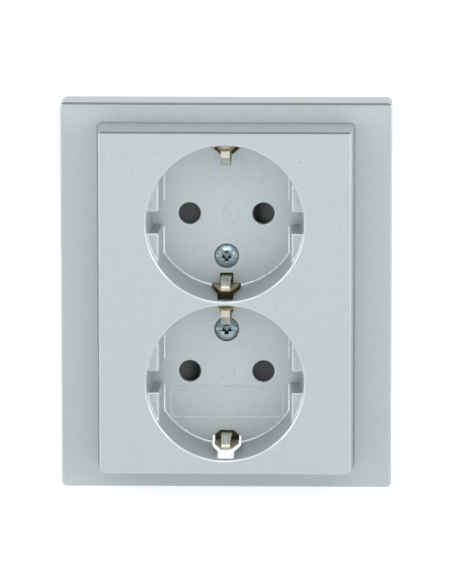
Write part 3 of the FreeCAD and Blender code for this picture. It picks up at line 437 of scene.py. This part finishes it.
def speck_group():
    """A few tiny dark specks, as on a piece that was handled and stored."""
    group, given, put = new_group(
        "specks",
        [("Color", "Color", (0.8, 0.8, 0.8, 1.0)), ("Speck Color", "Color", (0.1, 0.1, 0.1, 1.0)),
         ("Speck Scale", "Float", 55.0), ("Speck Size", "Float", 0.009)],
        [("Color", "Color")])
    cells = place_node(group, "ShaderNodeTexVoronoi", feature="F1")
    group.links.new(place_node(group, "ShaderNodeTexCoord").outputs["Object"], cells.inputs["Vector"])
    group.links.new(given["Speck Scale"], cells.inputs["Scale"])
    near = reckon(group, "LESS_THAN", cells.outputs["Distance"], given["Speck Size"])
    group.links.new(blended(group, near, given["Color"], given["Speck Color"]), put["Color"])
    return group


def use_group(tree, title, **values):
    """A shared group placed in a material, with the material's own values."""
    return place_node(tree, "ShaderNodeGroup", node_tree=GROUPS[title], **values)


def surface(name, group, values, edge, edge_highlight_share, bump, painted_shade, painted_shade_reach, painted_shade_share,
            metallic=0.0, coat=0.0, edge_radius=0.3, specks=None, painted_top_edge_shade=None):
    """A material from one finish group: painted shade in corners and recesses, a painted highlight along soft
    edges, painted shade along upper front edges when asked, and a fine bump.
    """
    material = bpy.data.materials.new(name)
    material.use_nodes = True
    tree = material.node_tree
    shader = tree.nodes["Principled BSDF"]
    finish = use_group(tree, group, **values)
    soft = use_group(tree, "edge", Radius=edge_radius * MM)
    colour = finish.outputs["Color"]
    if specks:
        dots = use_group(tree, "speck", **{"Speck Color": rgb(specks)})
        tree.links.new(colour, dots.inputs["Color"])
        colour = dots.outputs["Color"]
    # Painted shade: ambient occlusion darkens the colour towards a dark tone in corners and recesses
    corner_shade = use_group(tree, "painted_shade", Reach=painted_shade_reach * MM, Share=painted_shade_share)
    colour = blended(tree, corner_shade.outputs["Mask"], colour, rgb(painted_shade))
    # Painted highlight: the colour lightens along edges towards a pale edge tone
    colour = blended(tree, reckon(tree, "MULTIPLY", soft.outputs["Mask"], edge_highlight_share), colour, rgb(edge))
    # Painted shade on the upper front edges, above a height and in front of a depth
    if painted_top_edge_shade:
        height, depth = painted_top_edge_shade
        rim = use_group(tree, "rim", Height=height * MM, Depth=depth * MM)
        colour = blended(tree, rim.outputs["Mask"], colour, rgb(TOP_EDGE_PAINTED_SHADE))
    relief = place_node(tree, "ShaderNodeBump", Strength=bump, Distance=RELIEF_DEPTH * MM)
    tree.links.new(finish.outputs["Height"], relief.inputs["Height"])
    tree.links.new(soft.outputs["Normal"], relief.inputs["Normal"])
    tree.links.new(colour, shader.inputs["Base Color"])
    tree.links.new(finish.outputs["Roughness"], shader.inputs["Roughness"])
    tree.links.new(relief.outputs["Normal"], shader.inputs["Normal"])
    shader.inputs["Metallic"].default_value = metallic
    shader.inputs["Coat Weight"].default_value = coat
    shader.inputs["Coat Roughness"].default_value = COAT_ROUGHNESS
    return material


def lacquer(name, colour, roughness, painted_shade_amount=0.36, edge_radius=0.6, painted_top_edge_shade=None):
    """Silver metallic lacquer over moulded plastic, with a fine sparkle, painted shade in recesses and a
    painted highlight along edges.
    """
    values = {
        "Color": rgb(colour), "Fleck Color": shifted(colour, (14, 13, 13)),
        "Cloud Color": shifted(colour, (-12, -11, -10)), "Fleck Scale": 2300.0, "Fleck Share": 0.7,
        "Cloud Scale": 420.0, "Cloud Share": 0.35, "Roughness": roughness, "Roughness Span": -0.08,
    }
    return surface(name, "flecked", values, edge=LACQUER_EDGE_HIGHLIGHT, edge_highlight_share=1.0, bump=0.12,
                   painted_shade=LACQUER_PAINTED_SHADE, painted_shade_reach=14.0, painted_shade_share=painted_shade_amount, metallic=0.35, coat=0.35,
                   edge_radius=edge_radius, specks=LACQUER_SPECK, painted_top_edge_shade=painted_top_edge_shade)


def moulded(name, colour, roughness, edge, relief=0.25):
    """Plain moulded plastic with a fine matt texture, near-black painted shade in recesses and a painted
    highlight along edges.
    """
    values = {
        "Color": rgb(colour), "Fleck Color": shifted(colour, (12, 12, 12)),
        "Cloud Color": shifted(colour, (-14, -14, -14)), "Fleck Scale": 1500.0, "Fleck Share": 0.5,
        "Cloud Scale": 120.0, "Cloud Share": 0.5, "Roughness": roughness, "Roughness Span": 0.12,
    }
    return surface(name, "flecked", values, edge=edge, edge_highlight_share=0.4, bump=relief,
                   painted_shade=PLASTIC_PAINTED_SHADE, painted_shade_reach=4.0, painted_shade_share=0.4)


def rolled(name, colour, line, tarnish, edge, tarnish_share, roughness, stretch, edge_highlight_share=0.6,
           metallic=1.0, painted_shade_amount=0.75):
    """Rolled or plated sheet metal with fine lines and a little tarnish, painted shade in recesses and a
    painted highlight along edges.
    """
    values = {
        "Color": rgb(colour), "Line Color": rgb(line), "Tarnish Color": rgb(tarnish), "Stretch": stretch,
        "Line Scale": 2600.0, "Line Share": 0.5, "Tarnish Share": tarnish_share, "Roughness": roughness,
        "Roughness Span": 0.14,
    }
    return surface(name, "grain", values, edge=edge, edge_highlight_share=edge_highlight_share, bump=0.18, painted_shade=METAL_PAINTED_SHADE,
                   painted_shade_reach=1.6, painted_shade_share=painted_shade_amount, metallic=metallic, edge_radius=0.12)


def lacquers():
    """The silver of the cover, the frame and the wells, by the part that wears it."""
    return {
        "cover": lacquer("cover_silver", (190, 198, 200), 0.42, edge_radius=0.5, painted_top_edge_shade=(43.8, -22.6)),
        "frame": lacquer("frame_silver", (190, 198, 200), 0.45, edge_radius=0.4, painted_top_edge_shade=(49.5, -10.75)),
        "floor": lacquer("well_silver", (201, 209, 211), 0.42, painted_shade_amount=0.22, edge_radius=0.3),
        # The strip's darker silver is a painted shade of the gap between the cover and the frame
        "gap_shade_strip": lacquer("painted_gap_shade", (176, 184, 186), 0.5, painted_shade_amount=0.0),
        # The beads' near-white lacquer is a painted highlight along the corners of the well floors
        "bead": lacquer("painted_highlight_bead", (240, 243, 244), 0.3, painted_shade_amount=0.0),
    }


def metals():
    """The metals by the part that wears them: their own colour, then that of lines, tarnish and the painted
    highlight along edges, brass toned on the nickel parts, where brass also shows at cut edges.
    """
    return {
        "zinc": rolled("blue_zinc", (172, 190, 196), (120, 146, 156), (150, 150, 128), (226, 232, 232),
                       0.35, 0.24, NO_LINES, edge_highlight_share=0.7),
        # The tongue's pale nickel is a lit copy of the clip nickel, a painted highlight; it also lights the
        # flat middle of each wing plate
        "tongue": rolled("nickel_painted_highlight", (226, 226, 216), (176, 178, 168), (150, 146, 124),
                         (214, 190, 130), 0.4, 0.3, LINES_ALONG_STRIP, metallic=0.6, painted_shade_amount=0.4),
        # The wings' olive nickel is the shaded copy of that nickel, a painted shade
        "clip": rolled("nickel_painted_shade", (200, 195, 168), (172, 168, 140), (128, 122, 92), (222, 176, 84),
                       0.5, 0.34, LINES_ALONG_STRIP, edge_highlight_share=0.8, metallic=0.2, painted_shade_amount=0.1),
        "cut": rolled("cut_brass", (226, 182, 96), (206, 160, 76), (150, 116, 60), (240, 204, 128),
                      0.3, 0.3, NO_LINES, metallic=0.4, painted_shade_amount=0.1),
        # The foot's dark olive tone is a painted shade for the dark place behind the clips; its lines and
        # tarnish are its own
        "foot": rolled("painted_shade_foot", (118, 114, 94), (90, 86, 68), (70, 66, 50), (150, 130, 84),
                       0.6, 0.45, LINES_ALONG_Z),
        "earth": rolled("nickel_bar", (176, 176, 160), (140, 140, 122), (120, 112, 86), (196, 160, 84),
                        0.5, 0.32, LINES_ALONG_Z),
        "ring": rolled("zinc_ring", (178, 182, 184), (146, 152, 156), (150, 148, 138), (220, 222, 222),
                       0.45, 0.34, LINES_ALONG_X),
        "claw": rolled("zinc_claw", (172, 176, 178), (140, 146, 150), (140, 136, 120), (214, 214, 204),
                       0.4, 0.32, LINES_ALONG_Y),
        "brass": rolled("contact_brass", (206, 170, 92), (182, 144, 70), (134, 104, 58), (236, 206, 132),
                        0.5, 0.26, LINES_ALONG_Z),
        "rivet": rolled("rivet_brass", (204, 172, 100), (178, 146, 80), (140, 112, 66), (238, 212, 146),
                        0.4, 0.3, NO_LINES, edge_highlight_share=0.7),
        "spring": rolled("spring_steel", (168, 170, 170), (128, 132, 134), (120, 110, 96), (222, 224, 224),
                         0.3, 0.22, LINES_ALONG_Y),
    }


def plastics():
    """The moulded plastics by the part that wears them."""
    return {
        "shutter": moulded("shutter_grey", (48, 52, 51), 0.3, (108, 112, 110), relief=0.04),
        "base": moulded("base_plastic", (70, 73, 71), 0.48, (104, 106, 102)),
        "terminal": moulded("terminal_plastic", (58, 60, 59), 0.48, (96, 98, 95)),
        "button": moulded("button_plastic", (196, 92, 52), 0.38, (226, 140, 100)),
        "earth_button": moulded("earth_button_plastic", (88, 134, 74), 0.38, (136, 176, 116)),
    }


def dress(nodes, finish):
    """Each carried-over part of the model in its own finish."""
    wears = (
        ("cover_frame", "frame"), ("socket_cover", "cover"), ("well_floor", "floor"), ("cover_screw", "zinc"),
        ("claw_screw", "zinc"), ("claw_", "claw"), ("shutter_spring", "spring"), ("shutter", "shutter"),
        ("base_housing", "base"), ("terminal_housing", "terminal"), ("mounting_ring", "ring"),
        ("ring_rivets", "rivet"), ("earth_bar", "earth"), ("earth_clip", "clip"),
        ("line_contact_bar", "brass"), ("neutral_contact_bar", "brass"), ("clamp_spring", "spring"),
        ("release_button_earth", "earth_button"), ("release_button", "button"),
    )
    for name, piece in nodes.items():
        key = next(wear for start, wear in wears if name.startswith(start))
        piece.data.materials.clear()
        piece.data.materials.append(finish[key])


def rows_mesh(name, rows):
    """A smooth mesh through rows of as many points each."""
    model = bmesh.new()
    grid = [[model.verts.new(point) for point in row] for row in rows]
    for lower, upper in zip(grid, grid[1:]):
        for left in range(len(lower) - 1):
            model.faces.new((lower[left], lower[left + 1], upper[left + 1], upper[left]))
    bmesh.ops.recalc_face_normals(model, faces=model.faces)
    mesh = bpy.data.meshes.new(name)
    model.to_mesh(mesh)
    model.free()
    for face in mesh.polygons:
        face.use_smooth = True
    return mesh


def sheet_piece(name, rows, materials, rim):
    """A bent piece of clip metal from rows of points, with its finishes and, last, that of its cut edges."""
    mesh = rows_mesh(name, rows)
    columns = len(rows[0]) - 1
    for index, face in enumerate(mesh.polygons):
        # On a wing plate the inner columns take the second finish, a painted highlight along a middle that
        # the flat mesh does not bend
        inside = 0 < index % columns < columns - 1
        face.material_index = 1 if inside and len(materials) > 2 else 0
    for material in materials:
        mesh.materials.append(material)
    piece = put_in_scene(name, mesh)
    solid = piece.modifiers.new("thickness", "SOLIDIFY")
    solid.thickness = CLIP_T * MM
    solid.offset = 0.0
    solid.material_offset_rim = len(materials) - 1
    soft = piece.modifiers.new("rims", "BEVEL")
    soft.width = rim * MM
    soft.segments = 3
    soft.limit_method = "ANGLE"
    soft.angle_limit = math.radians(CLIP_RIM_ANGLE)
    return piece


def smooth_line(points, steps):
    """A smooth line through some points, as a list of points."""
    ends = [2 * points[0] - points[1]] + points + [2 * points[-1] - points[-2]]
    line = []
    for index in range(1, len(ends) - 2):
        before, start, end, after = ends[index - 1:index + 3]
        for step in range(steps):
            t = step / steps
            line.append(0.5 * (2 * start + (end - before) * t
                               + (2 * before - 5 * start + 4 * end - after) * t ** 2
                               + (3 * start - before - 3 * end + after) * t ** 3))
    return line + [points[-1]]


def clip_point(side, centre, x, radius, depth):
    """A point of a clip in metres, from its distance to the well's axis and its depth."""
    return Vector((x * MM, (FRONT_Y + depth) * MM, (centre + side * radius) * MM))


def bowed_strip(name, side, centre, bow, materials):
    """The narrow tongue that presses on a plug's earth contact: tapered, bowed and slightly crowned."""
    rows = []
    for point in smooth_line([Vector(pair) for pair in bow], TONGUE_STEPS):
        share = min(max((point.y - bow[0][1]) / TONGUE_TAPER, 0.0), 1.0)
        half = TONGUE_HALF_TIP + share * (TONGUE_HALF_BACK - TONGUE_HALF_TIP)
        row = []
        for across in (-1.0, -0.5, 0.0, 0.5, 1.0):
            crown = TONGUE_CROWN * (1.0 - across ** 2)
            row.append(clip_point(side, centre, across * half, point.x - crown, point.y))
        rows.append(row)
    return sheet_piece(name, rows, materials, TONGUE_RIM)


def wing_plate(name, side, centre, materials):
    """The winged plate behind a tongue: narrow at its fold, wide at its foot, flat across, with a painted
    highlight along its middle where the real plate bends.
    """
    rows = []
    for half, radius, depth in WING_OUTLINE:
        bend = half * PLATE_HIGHLIGHT_SHARE
        rows.append([clip_point(side, centre, x, radius + CLIP_T / 2, depth)
                     for x in (-half, -bend, 0.0, bend, half)])
    return sheet_piece(name, rows, materials, PLATE_RIM)


def foot_plate(name, low, high, material):
    """The flat foot that carries a clip on the earth strip, from one height to another."""
    y = (EARTH_Y - CLIP_T / 2) * MM
    rows = []
    for step in range(FOOT_STEPS + 1):
        z = (low + (high - low) * step / FOOT_STEPS) * MM
        rows.append([Vector((x * CLIP_HALF_W / 2 * MM, y, z)) for x in (-2, -1, 0, 1, 2)])
    return sheet_piece(name, rows, [material], PLATE_RIM)


def spring_clips(finish):
    """The three clip pieces: single ones at the ends and the back-to-back pair between the wells."""
    tongue = [finish["tongue"], finish["cut"]]
    wings = [finish["clip"]] + tongue
    groups = {
        "earth_clip_top": ((1, WELL_Z, DEEP_BOW),),
        "earth_clip_bottom": ((-1, -WELL_Z, SHALLOW_BOW),),
        "earth_clip_centre": ((-1, WELL_Z, SHALLOW_BOW), (1, -WELL_Z, DEEP_BOW)),
    }
    for node, blades in groups.items():
        pieces = []
        for side, centre, bow in blades:
            tag = node + ("_up" if side > 0 else "_down")
            pieces.append(bowed_strip(tag + "_tongue", side, centre, bow, tongue))
            pieces.append(wing_plate(tag + "_wings", side, centre, wings))
        if len(blades) == 1:
            side, centre, bow = blades[0]
            low, high = sorted((centre + side * BOW_FOOT_R, centre + side * (PLATE_FOOT_R + CLIP_T)))
        else:
            high = WELL_Z - BOW_FOOT_R
            low = -high
        pieces.append(foot_plate(node + "_foot", low, high, finish["foot"]))
        for piece in pieces:
            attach(piece, "socket")
            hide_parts(node)


def floor_line(side, half):
    """The line where a well's wall and keys meet its floor, from the pin row to the earth slot."""
    line = [(KEY_X, KEY_SLOT_HALF + BEAD_KEY_GAP)]
    start = math.acos(KEY_X / WELL_FLOOR_R)
    end = math.acos(EARTH_SLOT_HALF / WELL_FLOOR_R)
    for step in range(BEAD_LINE_STEPS + 1):
        angle = start + (end - start) * step / BEAD_LINE_STEPS
        line.append((WELL_FLOOR_R * math.cos(angle), WELL_FLOOR_R * math.sin(angle)))
    return [Vector((half * x, side * z)) for x, z in line]


def floor_bead(name, side, half, centre, material):
    """The small round fillet in the corner between a well's wall and its floor."""
    line = floor_line(side, half)
    rows = []
    for index, point in enumerate(line):
        ahead = line[min(index + 1, len(line) - 1)] - line[max(index - 1, 0)]
        inward = Vector((-ahead.y, ahead.x)).normalized()
        if inward.dot(point) > 0:
            inward.negate()
        row = []
        for step in range(BEAD_ROUND_STEPS + 1):
            angle = math.radians(90) * step / BEAD_ROUND_STEPS
            spot = point + inward * BEAD_R * (1.0 - math.sin(angle))
            rise = BEAD_R * (1.0 - math.cos(angle))
            row.append((spot.x * MM, (WELL_FLOOR_Y - rise) * MM, (centre + spot.y) * MM))
        rows.append(row)
    mesh = rows_mesh(name, rows)
    mesh.materials.append(material)
    return put_in_scene(name, mesh)


def floor_beads(material):
    """Fillets round both well floors, broken at the key slots and the earth slots."""
    for well, centre in (("upper", WELL_Z), ("lower", -WELL_Z)):
        for place, side in (("top", 1), ("bottom", -1)):
            for hand, half in (("left", -1), ("right", 1)):
                bead = floor_bead("floor_bead_%s_%s_%s" % (well, place, hand), side, half, centre, material)
                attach(bead, "socket")


def rounded_line(half_x, half_z, radius):
    """The points of a rectangle with rounded corners, anticlockwise."""
    line = []
    for corner, (sx, sz) in enumerate(((1, 1), (-1, 1), (-1, -1), (1, -1))):
        for step in range(SEAM_CORNER_STEPS + 1):
            angle = math.radians(90 * (corner + step / SEAM_CORNER_STEPS))
            line.append((sx * (half_x - radius) + radius * math.cos(angle),
                         sz * (half_z - radius) + radius * math.sin(angle)))
    return line


def gap_shade_strip(material):
    """The thin strip that closes the gap between the cover and the frame's opening, in a darker silver that
    is a painted shade of the gap.
    """
    inner = rounded_line(*SEAM_INNER, SEAM_CORNER)
    outer = rounded_line(*SEAM_OUTER, SEAM_CORNER)
    count = len(inner)
    faces = [(k, (k + 1) % count, count + (k + 1) % count, count + k) for k in range(count)]
    mesh = bpy.data.meshes.new("painted_gap_shade_strip")
    mesh.from_pydata([(x * MM, SEAM_Y * MM, z * MM) for x, z in inner + outer], [], faces)
    mesh.materials.append(material)
    strip = put_in_scene("painted_gap_shade_strip", mesh)
    thick = strip.modifiers.new("thickness", "SOLIDIFY")
    thick.thickness = SEAM_T * MM
    thick.offset = 0.0
    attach(strip, "socket")


def spring_copy(nodes, node, material):
    """A copy of one of the part's springs, of its own shape and in a given finish, in place of the part's
    own.
    """
    mesh = nodes[node].data.copy()
    mesh.materials.clear()
    mesh.materials.append(material)
    spring = put_in_scene(node + "_wire", mesh)
    spring.matrix_world = nodes[node].matrix_world
    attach(spring, "socket")
    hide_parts(node)
    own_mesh(spring)


def springs(nodes, material):
    """The shutters' and the clamps' springs."""
    spring_copy(nodes, "shutter_spring_upper", material)
    spring_copy(nodes, "shutter_spring_lower", material)
    for place in ("left", "earth", "right"):
        spring_copy(nodes, "clamp_spring_" + place,
                    material)


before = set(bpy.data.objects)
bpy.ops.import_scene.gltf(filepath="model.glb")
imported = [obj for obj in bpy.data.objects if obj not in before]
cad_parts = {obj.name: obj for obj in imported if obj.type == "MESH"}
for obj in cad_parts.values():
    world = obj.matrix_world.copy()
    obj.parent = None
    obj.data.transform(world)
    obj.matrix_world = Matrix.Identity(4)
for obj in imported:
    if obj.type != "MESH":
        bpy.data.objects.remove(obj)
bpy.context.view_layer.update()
GROUPS = {
    "flecked": finish_group(), "grain": grain_group(), "edge": edge_highlight_group(), "painted_shade": corner_shade_group(),
    "rim": top_edge_shade_group(), "speck": speck_group(),
}
camera()
studio()
ground()
finish = {**lacquers(), **metals(), **plastics()}
dress(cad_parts, finish)
spring_clips(finish)
floor_beads(finish["bead"])
gap_shade_strip(finish["gap_shade_strip"])
springs(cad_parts, finish["spring"])
